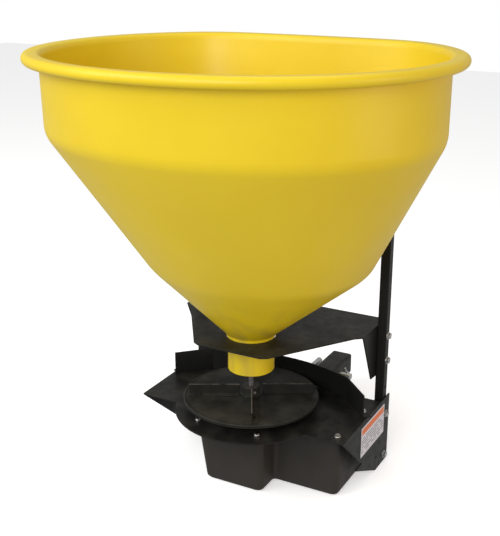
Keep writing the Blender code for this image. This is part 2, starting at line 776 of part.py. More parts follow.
def make_spinner():
    """Spinner disc, four fins on it, the hub that clamps it to the shaft, and the agitator bar above."""
    edge = 0.006
    sheet = 0.0022
    radius = SPINNER_RADIUS
    bore = SHAFT_RADIUS + GAP
    profile = [
        (bore, SPINNER_TOP),
        (radius - 0.002, SPINNER_TOP),
        (radius, SPINNER_TOP - 0.002),
        (radius, SPINNER_TOP - edge),
        (radius - sheet, SPINNER_TOP - edge),
        (radius - sheet, SPINNER_TOP - sheet),
        (bore, SPINNER_TOP - sheet),
    ]
    turned("spinner_disc", profile, BLACK_SATIN, 48, ring=True)

    hub_low = SPINNER_TOP + GAP
    hub_profile = [
        (bore, 0.206),
        (0.017, 0.206),
        (0.018, 0.205),
        (0.018, 0.190),
        (0.023, 0.1885),
        (0.023, hub_low),
        (bore, hub_low),
    ]
    hub = turned("spinner_hub", hub_profile, BLACK_SATIN, 24, ring=True)
    turn = math.radians(-40)
    out = Vector((math.cos(turn), math.sin(turn), 0))
    at = Vector((0, 0, 0.1965))
    screw_hole = cylinder_cutter("set_screw_hole", 0.0033, at + out * 0.010, at + out * 0.03)
    cut(hub, [screw_hole])
    place = Matrix.Translation(at) @ out.to_track_quat("Z", "Y").to_matrix().to_4x4()
    turned("hub_set_screw", [(0, 0.0205), (0.003, 0.0205), (0.003, 0.0110), (0, 0.0110)], ZINC, 12, place)

    foot = 0.014
    height = 0.023
    thick = 0.002
    for i in range(4):
        place = Matrix.Rotation(FIN_TURN + i * math.pi / 2, 4, "Z")
        place = place @ Matrix.Translation((0, 0, SPINNER_TOP + GAP))
        rows = [[(r, foot, 0), (r, 0, 0), (r, 0, height)] for r in (0.0245, 0.130)]
        folded_sheet(f"spinner_fin_{i + 1}", rows, thick, BLACK_SATIN, place)

    bar = 0.062
    start = (-bar, 0, AGITATOR_Z)
    middle = (0, 0, AGITATOR_Z)
    wire("agitator_bar", [start, middle, (bar, 0, AGITATOR_Z)], 0.003, STEEL, 1)


# ---------------------------------------------------------------- fasteners and small parts


def make_fasteners(tubes, saddle, deck, guard, hopper):
    """Bolts with their nuts. Each one's hole is cut through the sheets it passes."""
    outside = UPRIGHT_X + TUBE / 2
    for side, sign in SIDES.items():
        inward = (-sign, 0, 0)
        for level, z in (("upper", 0.298), ("lower", 0.242)):
            head_face = (sign * outside, UPRIGHT_Y, z)
            hole = bolt(f"saddle_bolt_{side}_{level}", head_face, inward, TUBE + SHEET + GAP)
            cut(tubes[side], [hole])
            cut(saddle, [hole])
        for level, z in (("upper", 0.1165), ("lower", 0.0165)):
            head_face = (sign * DECK_HALF_WIDTH, UPRIGHT_Y, z)
            hole = bolt(f"frame_bolt_{side}_{level}", head_face, inward, TUBE + SHEET + GAP)
            cut(tubes[side], [hole])
            cut(deck, [hole])
        head_face = (sign * 0.2190, 0.0845, DECK_TOP + GAP + GUARD_SHEET)
        grip = SHEET + GUARD_SHEET + GAP
        hole = bolt(f"guard_bolt_{side}", head_face, (0, 0, -1), grip, 0.003, 0.0055, 0.0055)
        cut(guard, [hole])
        cut(deck, [hole])
        head_face = (sign * 0.068, -0.1035, DECK_TOP)
        hole = bolt(f"deck_bolt_front_{side}", head_face, (0, 0, -1), SHEET, 0.003, 0.0055, 0.0055)
        cut(deck, [hole])
        make_pad(side, sign, hopper)
    hole = bolt("deck_bolt_side_right", (0.2125, -0.034, DECK_TOP), (0, 0, -1), SHEET, 0.003, 0.0055, 0.0055)
    cut(deck, [hole])


def make_pad(side, sign, hopper):
    """Pad with a post welded under it: the post stands in the upright, and one bolt holds the cone to it."""
    thick = 0.004
    clear = 0.0012
    half_width = 0.024
    half_height = 0.036
    bolt_rise = 0.020
    nut_clear = 0.0018
    pad_turn = 40
    pad_height = 0.596
    half = TUBE / 2 - TUBE_WALL - GAP
    post_foot = UPRIGHT_TOP - 0.045
    place = wall_place(sign, pad_turn, pad_height)
    corners = [(-half_width, -half_height), (half_width, -half_height), (half_width, half_height)]
    corners.append((-half_width, half_height))
    middle = place @ Matrix.Translation((0, 0, clear + thick / 2))
    pad = flat_plate(f"hopper_pad_{side}", [rounded(corners, 0.006, 2)], thick, BLACK, middle)

    out = place.to_3x3() @ Vector((0, 0, 1))
    bm = bmesh.new()
    rings = []
    for x, y in ((-half, -half), (half, -half), (half, half), (-half, half)):
        point = Vector((sign * UPRIGHT_X + x, UPRIGHT_Y + y, 0))
        top_z = out.dot(middle.translation - point) / out.z
        rings.append((bm.verts.new((point.x, point.y, post_foot)), bm.verts.new((point.x, point.y, top_z))))
    bm.faces.new([low for low, high in rings])
    bm.faces.new([high for low, high in rings])
    for (low, high), (next_low, next_high) in zip(rings, rings[1:] + rings[:1]):
        bm.faces.new((low, next_low, next_high, high))
    bmesh.ops.recalc_face_normals(bm, faces=bm.faces)
    post = bpy.data.objects.new(f"pad_post_{side}", bpy.data.meshes.new(f"pad_post_{side}"))
    bm.to_mesh(post.data)
    bm.free()
    post.hide_render = True
    post.display_type = "WIRE"
    cutter_collection.objects.link(post)
    weld = pad.modifiers.new("Weld", "BOOLEAN")
    weld.operation = "UNION"
    weld.object = post

    head_face = place @ Vector((0, bolt_rise, clear + thick))
    hole = bolt(f"hopper_bolt_{side}", head_face, -out, clear + thick + WALL + nut_clear)
    cut(pad, [hole])
    cut(hopper, [hole])


def make_label():
    """Blank label plate on the right side plate."""
    place = frame_of((0, 1, 0), (0, 0, 1), (DECK_HALF_WIDTH + GAP + 0.0004, 0.101, 0.111))
    half = (0.065, 0.0335)
    outline = [(-half[0], -half[1]), (half[0], -half[1]), half, (-half[0], half[1])]
    flat_plate("side_label", [outline], 0.0008, WHITE, place)


clear_scene()
parts = new_collection("tailgate_salt_spreader")
cutter_collection = new_collection("cutters")
YELLOW = new_material("hopper_yellow", (0.80, 0.60, 0.03), 0.35)
BLACK = new_material("powder_coat_black", (0.02, 0.02, 0.02), 0.45)
BLACK_SATIN = new_material("spinner_black", (0.025, 0.025, 0.024), 0.40)
PLASTIC = new_material("enclosure_black", (0.035, 0.030, 0.026), 0.55)
ZINC = new_material("zinc_plate", (0.55, 0.55, 0.54), 0.30, 1.0)
STEEL = new_material("bare_steel", (0.50, 0.50, 0.50), 0.30, 1.0)
BRASS = new_material("wheel_bronze", (0.60, 0.42, 0.18), 0.35, 1.0)
CAST = new_material("cast_housing", (0.35, 0.35, 0.35), 0.55, 1.0)
RUBBER = new_material("seal_rubber", (0.02, 0.02, 0.02), 0.70)
WHITE = new_material("label_white", (0.85, 0.85, 0.85), 0.40)

hopper_body = make_hopper()
upright_tubes = make_uprights()
saddle_plate = make_saddle()
deck_plate = make_deck()
guard_sheet = make_guard()
make_hitch()
make_enclosure()
make_drive()
make_spinner()
make_fasteners(upright_tubes, saddle_plate, deck_plate, guard_sheet, hopper_body)
make_label()
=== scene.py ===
"""Looks of a tailgate salt spreader: a moulded hopper over a finned spinner, on a hitch frame.

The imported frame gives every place: z = 0 is the floor, the spinner turns about the Z axis, salt
is thrown towards -Y, and the hitch shank points along +Y to the truck. Lengths are in metres.
"""

import math

import bmesh
import bpy
import numpy as np
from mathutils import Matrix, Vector


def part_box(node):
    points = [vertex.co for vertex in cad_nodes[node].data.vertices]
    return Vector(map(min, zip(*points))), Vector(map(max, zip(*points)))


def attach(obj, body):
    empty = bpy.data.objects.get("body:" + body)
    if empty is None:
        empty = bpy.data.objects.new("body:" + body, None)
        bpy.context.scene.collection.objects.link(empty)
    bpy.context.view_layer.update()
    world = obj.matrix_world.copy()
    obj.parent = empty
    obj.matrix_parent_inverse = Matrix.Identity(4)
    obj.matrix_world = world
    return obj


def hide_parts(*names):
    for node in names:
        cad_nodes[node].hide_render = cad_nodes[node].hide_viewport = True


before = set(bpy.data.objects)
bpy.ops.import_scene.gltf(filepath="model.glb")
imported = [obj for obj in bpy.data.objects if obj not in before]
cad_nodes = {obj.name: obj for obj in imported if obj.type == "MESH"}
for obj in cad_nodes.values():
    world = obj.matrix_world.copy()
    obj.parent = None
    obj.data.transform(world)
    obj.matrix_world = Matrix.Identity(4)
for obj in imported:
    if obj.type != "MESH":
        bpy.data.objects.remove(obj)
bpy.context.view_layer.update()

# ------------------------------------------------------------------ studio
# A white paper floor in a white room, with a broad soft light from the front left, a smaller one in
# front, a warm one on the right and a weak one overhead. The floor glows a little, so that it looks
# white, and lights nothing. The camera looks a little down on the throwing side.

floor_mesh = bpy.data.meshes.new("floor")
floor_half = 7.0
floor_z = -0.0004
corners = [(-1, -1), (1, -1), (1, 1), (-1, 1)]
floor_mesh.from_pydata([(x * floor_half, y * floor_half, floor_z) for x, y in corners], [], [(0, 1, 2, 3)])
floor = bpy.data.objects.new("floor", floor_mesh)
bpy.context.scene.collection.objects.link(floor)
paper = bpy.data.materials.new("white_paper")
paper.use_nodes = True
paper_shader = paper.node_tree.nodes["Principled BSDF"]
paper_shader.inputs["Base Color"].default_value = (0.93, 0.93, 0.93, 1)
paper_shader.inputs["Roughness"].default_value = 0.9
paper_shader.inputs["Specular IOR Level"].default_value = 0.0
paper_shader.inputs["Emission Color"].default_value = (1, 1, 1, 1)
paper_shader.inputs["Emission Strength"].default_value = 0.42
floor_mesh.materials.append(paper)
floor.visible_glossy = False
floor.visible_diffuse = False

room = bpy.data.worlds.new("white_room")
room.use_nodes = True
room_nodes = room.node_tree.nodes
soft_fill = room_nodes["Background"]
soft_fill.inputs["Color"].default_value = (1, 1, 1, 1)
soft_fill.inputs["Strength"].default_value = 0.46
backdrop = room_nodes.new("ShaderNodeBackground")
backdrop.inputs["Color"].default_value = (1, 1, 1, 1)
backdrop_choice = room_nodes.new("ShaderNodeMixShader")
ray = room_nodes.new("ShaderNodeLightPath")
room.node_tree.links.new(ray.outputs["Is Camera Ray"], backdrop_choice.inputs[0])
room.node_tree.links.new(soft_fill.outputs["Background"], backdrop_choice.inputs[1])
room.node_tree.links.new(backdrop.outputs["Background"], backdrop_choice.inputs[2])
room.node_tree.links.new(backdrop_choice.outputs["Shader"], room_nodes["World Output"].inputs["Surface"])
bpy.context.scene.world = room
bpy.context.scene.view_settings.view_transform = "Standard"


def soft_light(name, place, target, size, watts, colour):
    """A square area light at a place, turned towards a target."""
    light = bpy.data.lights.new(name, "AREA")
    light.shape = "SQUARE"
    light.size = size
    light.energy = watts
    light.color = colour
    lamp = bpy.data.objects.new(name, light)
    lamp.location = place
    lamp.rotation_euler = (Vector(target) - Vector(place)).to_track_quat("-Z", "Y").to_euler()
    bpy.context.scene.collection.objects.link(lamp)


soft_light("key", (-1.9, -2.2, 2.4), (0, 0, 0.5), 2.4, 66, (1.0, 0.99, 0.97))
soft_light("front", (0.3, -2.8, 1.7), (0, 0, 0.6), 1.4, 40, (1.0, 1.0, 1.0))
soft_light("warm_side", (3.0, -0.2, 0.9), (0, 0, 0.35), 1.6, 24, (1.0, 0.80, 0.64))
soft_light("overhead", (0.2, 0.3, 3.2), (0, 0, 0.5), 2.2, 15, (1.0, 1.0, 1.0))

lens = bpy.data.cameras.new("camera")
lens.sensor_width = 36
lens.lens = 63.36
camera = bpy.data.objects.new("camera", lens)
camera.location = (0.8462, -1.5769, 1.0771)
camera.rotation_euler = (math.radians(71.10), 0, math.radians(28.30))
bpy.context.scene.collection.objects.link(camera)
bpy.context.scene.camera = camera

# ------------------------------------------------------------------ hopper
# One rotationally moulded polyethylene shell of even wall: a straight band under a rolled lip, a
# wide oval cone cut flat on the truck side, and a steeper near-round cone down to the spout. The
# cone ends in a small step that rests over the saddle's hole.

WALL = 0.0045
LIP_OVERHANG = 0.030
LIP_HEIGHT = 0.0205
LIP_STEPS = 12
# Half width, half depth, centre's Y, and the Y of the flat side of each level
RIM = (0.379, 0.345, -0.0303, 0.266)
SHOULDER = (0.3835, 0.320, -0.038, 0.262)
KINK = (0.2295, 0.2067, 0.0374, 1.0)
SPOUT = (0.0476, 0.0476, 0.0, 1.0)
SHOULDER_Z = 0.7475
KINK_Z = 0.4665
SPOUT_TOP_Z = 0.327
REST_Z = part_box("saddle_plate")[1].z + 0.0004
REST_OUT = 0.0026
REST_EDGE = 0.0002
OVAL_POWER = 2.07
CORNER_SHARPNESS = 18
hopper_low, hopper_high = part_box("hopper")
RIM_TOP = hopper_high.z
AROUND = 240


def plan_ring(level, z, out=0.0):
    """One level of the hopper moved out by a distance: an oval with soft corners at its flat side."""
    half_width, half_depth, centre_y, flat_y = level
    turn = np.arange(AROUND) * 2 * math.pi / AROUND
    sine = np.sin(turn)
    across = np.abs(np.cos(turn) / (half_width + out)) ** OVAL_POWER
    along = np.abs(sine / (half_depth + out)) ** OVAL_POWER
    distance = (across + along) ** (-1 / OVAL_POWER)
    back = sine > 0.01
    straight = (flat_y + out - centre_y) / sine[back]
    power = -CORNER_SHARPNESS
    distance[back] = (distance[back] ** power + straight**power) ** (1 / power)
    return np.stack([distance * np.cos(turn), centre_y + distance * sine, np.full(AROUND, z)], 1)


def softened_bends(rings, reaches, steps=7):
    """The closed stack of rings with each bend along the wall rounded over its own reach."""
    result = []
    for k, reach in enumerate(reaches):
        corner = rings[k]
        if reach == 0:
            result.append(corner)
            continue
        before = rings[k - 1] - corner
        after = rings[(k + 1) % len(rings)] - corner
        before_length = np.linalg.norm(before, axis=1, keepdims=True)
        after_length = np.linalg.norm(after, axis=1, keepdims=True)
        start = corner + before / before_length * np.minimum(reach, before_length * 0.48)
        end = corner + after / after_length * np.minimum(reach, after_length * 0.48)
        for i in range(steps + 1):
            f = i / steps
            result.append(start * (1 - f) ** 2 + corner * 2 * f * (1 - f) + end * f**2)
    return result


def lofted(name, rings, closed_along):
    """A smooth mesh through a stack of rings with the same number of points."""
    count = len(rings[0])
    mesh = bpy.data.meshes.new(name)
    faces = []
    for i in range(len(rings) if closed_along else len(rings) - 1):
        here = i * count
        there = (i + 1) % len(rings) * count
        for j in range(count):
            k = (j + 1) % count
            faces.append((here + j, here + k, there + k, there + j))
    mesh.from_pydata(np.concatenate(rings).tolist(), [], faces)
    solid = bmesh.new()
    solid.from_mesh(mesh)
    bmesh.ops.recalc_face_normals(solid, faces=solid.faces)
    solid.to_mesh(mesh)
    solid.free()
    mesh.shade_smooth()
    piece = bpy.data.objects.new(name, mesh)
    bpy.context.scene.collection.objects.link(piece)
    return piece


stack = [
    (plan_ring(SPOUT, hopper_low.z), 0.0020),
    (plan_ring(SPOUT, REST_Z), 0.0004),
    (plan_ring(SPOUT, REST_Z + REST_EDGE, REST_OUT), 0.0004),
    (plan_ring(SPOUT, SPOUT_TOP_Z, REST_OUT), 0.004),
    (plan_ring(KINK, KINK_Z), 0.016),
    (plan_ring(SHOULDER, SHOULDER_Z), 0.016),
    (plan_ring(RIM, RIM_TOP - LIP_HEIGHT), 0.005),
]
lip_half = LIP_HEIGHT / 2
for k in range(LIP_STEPS + 1):
    turn = -math.pi / 2 + math.pi * k / LIP_STEPS
    out = LIP_OVERHANG - lip_half + lip_half * math.cos(turn)
    stack.append((plan_ring(RIM, RIM_TOP - lip_half + lip_half * math.sin(turn), out), 0))
stack += [
    (plan_ring(RIM, RIM_TOP - 0.0008, -0.0005), 0.006),
    (plan_ring(RIM, RIM_TOP - 0.010, -WALL), 0.004),
    (plan_ring(SHOULDER, SHOULDER_Z + 0.002, -WALL), 0.016),
    (plan_ring(KINK, KINK_Z + 0.003, -WALL), 0.014),
    (plan_ring(SPOUT, SPOUT_TOP_Z + 0.004, -WALL), 0.006),
    (plan_ring(SPOUT, hopper_low.z, -WALL), 0.0015),
]
levels, reaches = zip(*stack)
hopper = lofted("hopper_shell", softened_bends(levels, reaches), True)


def surface(name, colour, roughness, metallic=0.0, specular=0.5):
    """A new material: returns it with its node tree, its shader and its object coordinates."""
    material = bpy.data.materials.new(name)
    material.use_nodes = True
    tree = material.node_tree
    shader = tree.nodes["Principled BSDF"]
    shader.inputs["Base Color"].default_value = (*colour, 1)
    shader.inputs["Roughness"].default_value = roughness
    shader.inputs["Metallic"].default_value = metallic
    shader.inputs["Specular IOR Level"].default_value = specular
    coords = tree.nodes.new("ShaderNodeTexCoord").outputs["Object"]
    return material, tree, shader, coords


def noise(tree, coords, scale, detail=3.0, stretch=(1, 1, 1)):
    """Noise of a scale per metre, stretched along the axes."""
    mapping = tree.nodes.new("ShaderNodeMapping")
    mapping.inputs["Scale"].default_value = stretch
    tree.links.new(coords, mapping.inputs["Vector"])
    texture = tree.nodes.new("ShaderNodeTexNoise")
    texture.inputs["Scale"].default_value = scale
    texture.inputs["Detail"].default_value = detail
    tree.links.new(mapping.outputs["Vector"], texture.inputs["Vector"])
    return texture.outputs["Fac"]


def spread(tree, value, low, high, to_low=0.0, to_high=1.0):
    """The value between low and high, carried over to the range to_low to to_high."""
    node = tree.nodes.new("ShaderNodeMapRange")
    for socket, number in zip(("From Min", "From Max", "To Min", "To Max"), (low, high, to_low, to_high)):
        node.inputs[socket].default_value = number
    tree.links.new(value, node.inputs["Value"])
    return node.outputs["Result"]


def product(tree, first, second):
    node = tree.nodes.new("ShaderNodeMath")
    node.operation = "MULTIPLY"
    tree.links.new(first, node.inputs[0])
    tree.links.new(second, node.inputs[1])
    return node.outputs[0]


def blended(tree, factor, first, second):
    """A colour that goes from first to second with the factor. Each is a colour or a socket."""
    node = tree.nodes.new("ShaderNodeMix")
    node.data_type = "RGBA"
    tree.links.new(factor, node.inputs[0])
    for socket, colour in ((node.inputs[6], first), (node.inputs[7], second)):
        if isinstance(colour, tuple):
            socket.default_value = (*colour, 1)
        else:
            tree.links.new(colour, socket)
    return node.outputs[2]


def axis_value(tree, coords, axis):
    """One of the coordinates X, Y or Z by itself."""
    node = tree.nodes.new("ShaderNodeSeparateXYZ")
    tree.links.new(coords, node.inputs[0])
    return node.outputs[axis]


def relief(tree, shader, height, depth, strength=1.0):
    """Raises the surface with the height value, by up to depth metres."""
    bump = tree.nodes.new("ShaderNodeBump")
    bump.inputs["Strength"].default_value = strength
    bump.inputs["Distance"].default_value = depth
    tree.links.new(height, bump.inputs["Height"])
    if shader.inputs["Normal"].is_linked:
        tree.links.new(shader.inputs["Normal"].links[0].from_socket, bump.inputs["Normal"])
    tree.links.new(bump.outputs["Normal"], shader.inputs["Normal"])


polyethylene, tree, shader, coords = surface("moulded_polyethylene", (0.76, 0.56, 0.02), 0.4)
shader.inputs["Specular IOR Level"].default_value = 0.4
shader.inputs["Subsurface Weight"].default_value = 0.12
shader.inputs["Subsurface Radius"].default_value = (1.0, 0.6, 0.1)
shader.inputs["Subsurface Scale"].default_value = 0.006
clouds = spread(tree, noise(tree, coords, 4.0), 0.35, 0.65)
body_colour = blended(tree, clouds, (0.735, 0.530, 0.011), (0.775, 0.570, 0.014))
# The lower cone is painted darker and browner towards the saddle, in streaks: painted shade there, with some
# dust.
height = axis_value(tree, coords, "Z")
streaks = spread(tree, noise(tree, coords, 30.0, 5.0, (1, 1, 0.15)), 0.45, 0.75)
foot_shade_and_dust = product(tree, spread(tree, height, 0.46, 0.31, 0.0, 0.55), streaks)
tree.links.new(blended(tree, foot_shade_and_dust, body_colour, (0.30, 0.21, 0.07)), shader.inputs["Base Color"])
tree.links.new(spread(tree, noise(tree, coords, 14.0), 0.3, 0.7, 0.34, 0.46), shader.inputs["Roughness"])
relief(tree, shader, noise(tree, coords, 420.0, 2.0), 0.00012, 0.35)
relief(tree, shader, noise(tree, coords, 6.0, 1.0), 0.004, 0.10)
hopper.data.materials.append(polyethylene)
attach(hopper, "frame")
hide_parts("hopper")

# ------------------------------------------------------------------ frame sheets and tubes
# Uprights, pads, saddle, cross tube and shank are welded or folded mild steel with a black powder
# coat. Their cut edges are slightly rounded by the coat, which has a fine orange peel.


def coated_copy(node, name, edge, segments=2):
    """A copy of a frame node whose loose triangles are merged and whose edges are rounded."""
    mesh = cad_nodes[node].data.copy()
    mesh.name = name
    solid = bmesh.new()
    solid.from_mesh(mesh)
    bmesh.ops.remove_doubles(solid, verts=solid.verts, dist=0.00001)
    flat = math.radians(0.6)
    bmesh.ops.dissolve_limit(solid, angle_limit=flat, verts=solid.verts, edges=solid.edges)
    solid.to_mesh(mesh)
    solid.free()
    mesh.materials.clear()
    draft = bpy.data.objects.new(name + "_draft", mesh)
    bpy.context.scene.collection.objects.link(draft)
    bevel = draft.modifiers.new("Bevel", "BEVEL")
    bevel.width = edge
    bevel.segments = segments
    bevel.limit_method = "ANGLE"
    bevel.angle_limit = math.radians(28)
    bevel.harden_normals = True
    return plain_mesh(draft, name)


def plain_mesh(draft, name):
    """The draft as it evaluates, as a plain mesh object with its place in its mesh."""
    bpy.context.view_layer.update()
    graph = bpy.context.evaluated_depsgraph_get()
    mesh = bpy.data.meshes.new_from_object(draft.evaluated_get(graph))
    mesh.name = name
    mesh.transform(draft.matrix_world)
    bpy.data.objects.remove(draft, do_unlink=True)
    piece = bpy.data.objects.new(name, mesh)
    bpy.context.scene.collection.objects.link(piece)
    return piece


powder_coat, tree, shader, coords = surface("black_powder_coat", (0.011, 0.011, 0.010), 0.42, specular=0.2)
# Faces turned upwards are made lighter, in patches.
up = axis_value(tree, tree.nodes.new("ShaderNodeNewGeometry").outputs["Normal"], "Z")
lighter_facing_up = product(tree, spread(tree, up, 0.5, 1.0), spread(tree, noise(tree, coords, 26.0, 6.0), 0.42, 0.72))
coat_colour = blended(tree, lighter_facing_up, (0.011, 0.011, 0.010), (0.032, 0.030, 0.024))
tree.links.new(coat_colour, shader.inputs["Base Color"])
tree.links.new(spread(tree, noise(tree, coords, 60.0), 0.3, 0.7, 0.36, 0.50), shader.inputs["Roughness"])
relief(tree, shader, noise(tree, coords, 900.0, 1.0), 0.00008, 0.4)

for node, edge in (
    ("upright_left", 0.0016),
    ("upright_right", 0.0016),
    ("hopper_pad_left", 0.0008),
    ("hopper_pad_right", 0.0008),
    ("saddle_plate", 0.0009),
    ("cross_tube", 0.0006),
    ("hitch_shank", 0.0007),
):
    piece = coated_copy(node, node + "_coated", edge)
    piece.data.materials.append(powder_coat)
    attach(piece, "frame")
    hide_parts(node)

# ------------------------------------------------------------------ welds
# Fillet welds join the cross tube to the uprights, the shank to the cross tube, and each pad's post
# to its upright. Each bead is laid in overlapping ripples and lies under the frame's coat.

BEAD = 0.0024
RIPPLE = 0.0032
RINGS_A_RIPPLE = 6
BEAD_SIDES = 10
BEAD_END = 0.45
SIDE_INSET = 0.004
TOP_INSET = 0.002
SHANK_INSET = 0.003
POST_HALF = 0.008
POST_BEAD = BEAD * 0.7
tube_low, tube_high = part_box("upright_right")
cross_low, cross_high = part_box("cross_tube")
shank_low, shank_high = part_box("hitch_shank")


def add_bead(solid, start, end, radius):
    """Adds one straight rippled bead with closed ends to a bmesh."""
    run = end - start
    turn = run.to_track_quat("Z", "Y")
    count = max(6, round(run.length / RIPPLE * RINGS_A_RIPPLE))
    rings = []
    for i in range(count + 1):
        ripple = 0.80 + 0.20 * abs(math.sin(math.pi * i / RINGS_A_RIPPLE))
        size = radius * ripple * (BEAD_END if i in (0, count) else 1.0)
        ring = []
        for k in range(BEAD_SIDES):
            angle = 2 * math.pi * k / BEAD_SIDES
            out = turn @ Vector((size * math.cos(angle), size * math.sin(angle), 0))
            ring.append(solid.verts.new(start + run * (i / count) + out))
        rings.append(ring)
    for row, following in zip(rings, rings[1:]):
        for k in range(BEAD_SIDES):
            j = (k + 1) % BEAD_SIDES
            solid.faces.new((row[k], row[j], following[j], following[k]))
    solid.faces.new(rings[0])
    solid.faces.new(rings[-1])


bead_runs = []
for side in (-1, 1):
    seam_x = side * tube_low.x
    for seam_y in (tube_low.y, tube_high.y):
        low = Vector((seam_x, seam_y, cross_low.z + SIDE_INSET))
        bead_runs.append((low, Vector((seam_x, seam_y, cross_high.z - SIDE_INSET)), BEAD))
    over = Vector((seam_x, tube_low.y + TOP_INSET, cross_high.z))
    bead_runs.append((over, Vector((seam_x, tube_high.y - TOP_INSET, cross_high.z)), BEAD))
    middle = Vector((side * (tube_low.x + tube_high.x) / 2, (tube_low.y + tube_high.y) / 2, tube_high.z))
    post = [middle + Vector((x, y, 0)) * POST_HALF for x, y in ((-1, -1), (1, -1), (1, 1), (-1, 1))]
    for k in range(4):
        bead_runs.append((post[k], post[(k + 1) % 4], POST_BEAD))
    shank_side = Vector((side * shank_high.x, shank_low.y, shank_low.z + SHANK_INSET))
    shank_side_end = Vector((side * shank_high.x, shank_low.y, shank_high.z - SHANK_INSET))
    bead_runs.append((shank_side, shank_side_end, BEAD))
for seam_z in (shank_low.z, shank_high.z):
    left = Vector((shank_low.x + SHANK_INSET, shank_low.y, seam_z))
    bead_runs.append((left, Vector((shank_high.x - SHANK_INSET, shank_low.y, seam_z)), BEAD))
bead_solid = bmesh.new()
for start, end, radius in bead_runs:
    add_bead(bead_solid, start, end, radius)
bmesh.ops.recalc_face_normals(bead_solid, faces=bead_solid.faces)
bead_mesh = bpy.data.meshes.new("frame_weld_beads")
bead_solid.to_mesh(bead_mesh)
bead_solid.free()
bead_mesh.shade_smooth()
bead_mesh.materials.append(powder_coat)
beads = bpy.data.objects.new("frame_weld_beads", bead_mesh)
bpy.context.scene.collection.objects.link(beads)
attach(beads, "frame")

# ------------------------------------------------------------------ deck and guard
# The deck is one laser-cut sheet whose sides are folded down into side plates. The guard is a bent
# strip with a foot along its back, bolted down to it. Both wear the same powder coat.

for node, edge in (("deck", 0.0008), ("spinner_guard", 0.0007)):
    piece = coated_copy(node, node + "_coated", edge)
    piece.data.materials.append(powder_coat)
    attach(piece, "frame")
    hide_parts(node)

# ------------------------------------------------------------------ motor enclosure
# A vacuum-formed tub of grained black plastic, open at the top against the deck: a lobe under the
# spinner for the gearbox and a wider, shallower one beside it for the motor.

TUB_WALL = 0.003
TUB_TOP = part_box("motor_enclosure")[1].z
TUB_TURN_Z = 0.011


def rounded_plan(corners, radii, z, steps=7):
    """A level of the tub: its corners rounded by arcs, as points all round."""
    points = []
    for i, corner in enumerate(corners):
        corner = Vector(corner)
        before = (Vector(corners[i - 1]) - corner).normalized()
        after = (Vector(corners[(i + 1) % len(corners)]) - corner).normalized()
        reach = radii[i] / math.tan(before.angle(after) / 2)
        start = corner + before * reach
        end = corner + after * reach
        for k in range(steps + 1):
            f = k / steps
            x, y = start * (1 - f) ** 2 + corner * 2 * f * (1 - f) + end * f**2
            points.append((x, y, z))
    return np.array(points)


def tub_level(left, right, lobe_right, front, lobe_front, back, z, radius=0.014):
    corners = [(left, front), (lobe_right, front), (lobe_right, lobe_front), (right, lobe_front)]
    corners += [(right, back), (left, back)]
    return rounded_plan(corners, [radius, radius, radius * 0.8, radius, radius, radius], z)


tub_top = tub_level(-0.0915, 0.209, 0.067, -0.078, -0.018, 0.150, TUB_TOP)
tub_low = tub_level(-0.0750, 0.204, 0.0605, -0.0685, -0.009, 0.142, TUB_TURN_Z)
tub_base = tub_level(-0.0660, 0.195, 0.0515, -0.0595, 0.000, 0.133, 0.0)
tub_rings = [tub_top + (tub_low - tub_top) * k / 6 for k in range(6)]
for k in range(7):
    turn = math.pi / 2 * k / 6
    level = tub_low + (tub_base - tub_low) * (1 - math.cos(turn))
    level[:, 2] = TUB_TURN_Z * (1 - math.sin(turn))
    tub_rings.append(level)
tub = lofted("enclosure_tub", tub_rings, False)
solid = bmesh.new()
solid.from_mesh(tub.data)
solid.verts.ensure_lookup_table()
bottom_loop = [solid.verts[len(solid.verts) - len(tub_base) + i] for i in range(len(tub_base))]
solid.faces.new(bottom_loop)
bmesh.ops.recalc_face_normals(solid, faces=solid.faces)
if min(solid.faces, key=lambda face: face.calc_center_median().z).normal.z > 0:
    bmesh.ops.reverse_faces(solid, faces=solid.faces)
solid.to_mesh(tub.data)
solid.free()
thickness = tub.modifiers.new("Solidify", "SOLIDIFY")
thickness.thickness = TUB_WALL
thickness.offset = -1
tub = plain_mesh(tub, "enclosure_shell")
tub.data.shade_smooth()
tub.data.set_sharp_from_angle(angle=math.radians(35))

plastic_colour = (0.027, 0.022, 0.018)
formed_plastic, tree, shader, coords = surface("formed_black_plastic", plastic_colour, 0.55, specular=0.25)
tone = spread(tree, noise(tree, coords, 9.0, 4.0), 0.35, 0.65)
tree.links.new(blended(tree, tone, (0.026, 0.023, 0.019), (0.034, 0.030, 0.025)), shader.inputs["Base Color"])
tree.links.new(spread(tree, noise(tree, coords, 40.0), 0.3, 0.7, 0.48, 0.62), shader.inputs["Roughness"])
relief(tree, shader, noise(tree, coords, 1300.0, 2.0), 0.00015, 0.5)
tub.data.materials.append(formed_plastic)
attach(tub, "frame")
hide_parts("motor_enclosure")

# ------------------------------------------------------------------ drive inside the enclosure
# A brushed motor turns a steel worm against a bronze wheel in a cast two-part gearbox. The wheel
# sits on the spinner's shaft, which runs in two ball bearings under a lip seal.

cast_metal, tree, shader, coords = surface("cast_aluminium", (0.42, 0.42, 0.42), 0.55, 1.0)
grain = noise(tree, coords, 260.0, 5.0)
tree.links.new(blended(tree, grain, (0.34, 0.34, 0.35), (0.50, 0.50, 0.50)), shader.inputs["Base Color"])
tree.links.new(spread(tree, grain, 0.3, 0.7, 0.45, 0.65), shader.inputs["Roughness"])
relief(tree, shader, grain, 0.0003, 0.6)

bare_steel, tree, shader, coords = surface("machined_steel", (0.52, 0.52, 0.53), 0.28, 1.0)
marks = noise(tree, coords, 90.0, 4.0, (1, 1, 9))
tree.links.new(blended(tree, marks, (0.40, 0.39, 0.38), (0.62, 0.61, 0.60)), shader.inputs["Base Color"])
tree.links.new(spread(tree, marks, 0.3, 0.7, 0.2, 0.4), shader.inputs["Roughness"])
relief(tree, shader, marks, 0.00003, 0.3)

